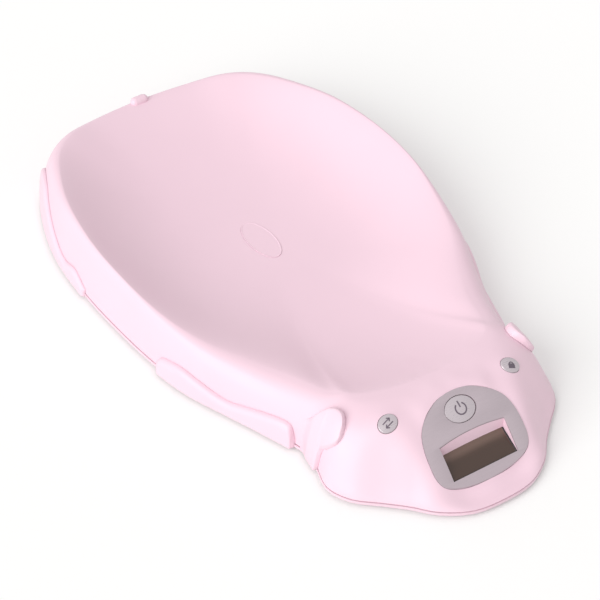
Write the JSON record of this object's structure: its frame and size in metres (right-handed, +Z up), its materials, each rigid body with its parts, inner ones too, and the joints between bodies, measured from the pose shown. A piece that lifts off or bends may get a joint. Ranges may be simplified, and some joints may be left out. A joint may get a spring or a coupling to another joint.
{
  "type": "digital baby weighing scale",
  "caption": "Low baby weighing scale: a shallow dished tray with raised rim, floating on load cells, and a sloping console with press buttons and a recessed display.",
  "frame": {"origin": "middle of the plan outline, on the surface that the feet stand on", "axes": "+X across the scale to the right as seen from the console, +Y from the console to the head end, +Z up"},
  "size_m": [0.3406, 0.5994, 0.0677],
  "materials": {
    "pink_shell": "satin gloss moulded plastic",
    "face_silver": "satin silver lacquer",
    "display_glass": "clear cover over a grey display",
    "white_plastic": "moulded",
    "ribbon": "satin film",
    "key_silver": "satin lacquer",
    "dark_plastic": "moulded",
    "board_green": "solder mask",
    "part_body": "moulded",
    "steel": "bright zinc",
    "pink_base": "satin moulded plastic",
    "foot_rubber": "matt",
    "battery_jacket": "satin printed jacket",
    "wire_red": "soft insulation",
    "wire_dark": "soft insulation"
  },
  "bodies": {
    "base": {"base_tub": "pink_base", "grip_rear_left": "pink_base", "grip_rear_right": "pink_base", "grip_middle_left": "pink_base", "grip_middle_right": "pink_base", "knob_left": "pink_base", "knob_right": "pink_base", "load_cell_frames": "steel", "cell_holders": "white_plastic", "rubber_feet": "foot_rubber", "batteries": "battery_jacket", "battery_contacts": "steel", "cell_wires": "wire_red", "battery_leads": "wire_dark"},
    "platform": {"upper_shell": "pink_shell", "oval_inlay": "pink_shell", "head_nub": "pink_shell", "face_plate": "face_silver", "display_bezel": "pink_shell", "lcd_panel": "display_glass", "lcd_holder": "white_plastic", "display_ribbon": "ribbon", "key_switches": "dark_plastic", "main_board": "board_green", "side_key_boards": "board_green", "control_chip": "dark_plastic", "board_parts": "part_body", "buzzer": "dark_plastic", "board_screws": "steel", "wire_plugs": "white_plastic", "platform_bracket": "steel", "bracket_screws": "steel", "retaining_screws": "steel", "load_cell_tongues": "steel"},
    "power_key": {"power_button": "key_silver", "power_plunger": "dark_plastic"},
    "unit_key": {"unit_button": "key_silver", "unit_plunger": "dark_plastic"},
    "hold_key": {"hold_button": "key_silver", "hold_plunger": "dark_plastic"},
    "door": {"battery_door": "pink_base"}
  },
  "joints": [
    {"name": "platform_travel", "type": "slide", "parent": "base", "child": "platform", "axis": [0, 0, 1], "range_m": [-0.0005, 0], "stiffness_N_per_m": 40000, "springref_m": 0.0006},
    {"name": "power_press", "type": "slide", "parent": "platform", "child": "power_key", "axis": [0, -0.5664, 0.8241], "range_m": [-0.001, 0], "stiffness_N_per_m": 600, "springref_m": 0.0008},
    {"name": "unit_press", "type": "slide", "parent": "platform", "child": "unit_key", "axis": [-0.2141, -0.3987, 0.8917], "range_m": [-0.001, 0], "stiffness_N_per_m": 600, "springref_m": 0.0008},
    {"name": "hold_press", "type": "slide", "parent": "platform", "child": "hold_key", "axis": [0.2141, -0.3987, 0.8917], "range_m": [-0.001, 0], "stiffness_N_per_m": 600, "springref_m": 0.0008},
    {"name": "battery_door_hinge", "type": "hinge", "parent": "base", "child": "door", "pos_m": [0, -0.1317, 0.0054], "axis": [1, 0, 0], "range_deg": [0, 75]}
  ]
}
